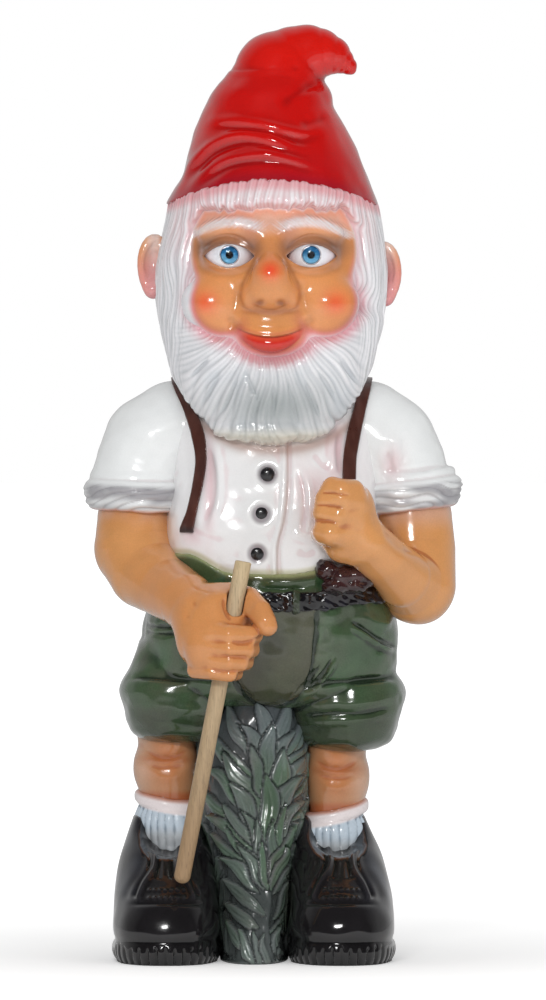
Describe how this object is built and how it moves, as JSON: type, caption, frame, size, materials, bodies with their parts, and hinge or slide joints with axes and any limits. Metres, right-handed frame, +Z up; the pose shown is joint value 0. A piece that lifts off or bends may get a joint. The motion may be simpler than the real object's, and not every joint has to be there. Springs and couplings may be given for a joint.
{
  "type": "garden gnome",
  "caption": "Large hollow garden gnome in a curled red hat, beard and braces, leaning one fist on a round wooden stick, with a bush behind the legs.",
  "frame": {"origin": "on the ground under the bush, between the shoes, on the flat underside that the figure rests on", "axes": "+Z up; the figure faces -Y; the figure's own left hand is on +X and its own right hand, with the stick, on -X"},
  "size_m": [0.2744, 0.2168, 0.6881],
  "materials": {
    "hat_red": "glossy painted, darker towards the rim",
    "skin": "glossy painted flesh with airbrushed blush",
    "hair_white": "glossy white strands with pink and grey airbrush shading",
    "shirt_white": "glossy white with pink shading in the folds",
    "brace_brown": "glossy dark brown",
    "trouser_green": "glossy dark olive, darker in the folds",
    "belt_black": "glossy black",
    "sock_white": "glossy ribbed knit, bluish white with a pinkish band",
    "shoe_black": "glossy black",
    "bush_green": "glossy grey-green leaves with dark outlines",
    "wood": "bare beech, matt",
    "button_black": "glossy black bead",
    "eye_white": "polished white",
    "iris_blue": "glossy blue with a black pupil",
    "cornea_clear": "clear polished dome",
    "plug_rubber": "matt black rubber"
  },
  "bodies": {
    "figure": {"arm_left": "skin", "arm_right": "skin", "belt": "belt_black", "brace_left": "brace_brown", "brace_right": "brace_brown", "bush": "bush_green", "button_lower": "button_black", "button_middle": "button_black", "button_upper": "button_black", "cornea_left": "cornea_clear", "cornea_right": "cornea_clear", "eyeball_left": "eye_white", "eyeball_right": "eye_white", "hair_and_beard": "hair_white", "hat": "hat_red", "head": "skin", "iris_left": "iris_blue", "iris_right": "iris_blue", "leg_left": "skin", "leg_right": "skin", "shirt": "shirt_white", "shoe_left": "shoe_black", "shoe_right": "shoe_black", "sleeve_left": "shirt_white", "sleeve_right": "shirt_white", "sock_left": "sock_white", "sock_right": "sock_white", "trousers": "trouser_green"},
    "stick": {"stick": "wood"},
    "filler_plug": {"filler_plug": "plug_rubber"}
  },
  "joints": [
    {"name": "stick_slide", "type": "slide", "parent": "figure", "child": "stick", "axis": [0.1905, 0, 0.9817], "range_m": [-0.01, 0.23]},
    {"name": "plug_pull", "type": "slide", "parent": "figure", "child": "filler_plug", "axis": [0, 0, -1], "range_m": [0, 0.03]}
  ]
}
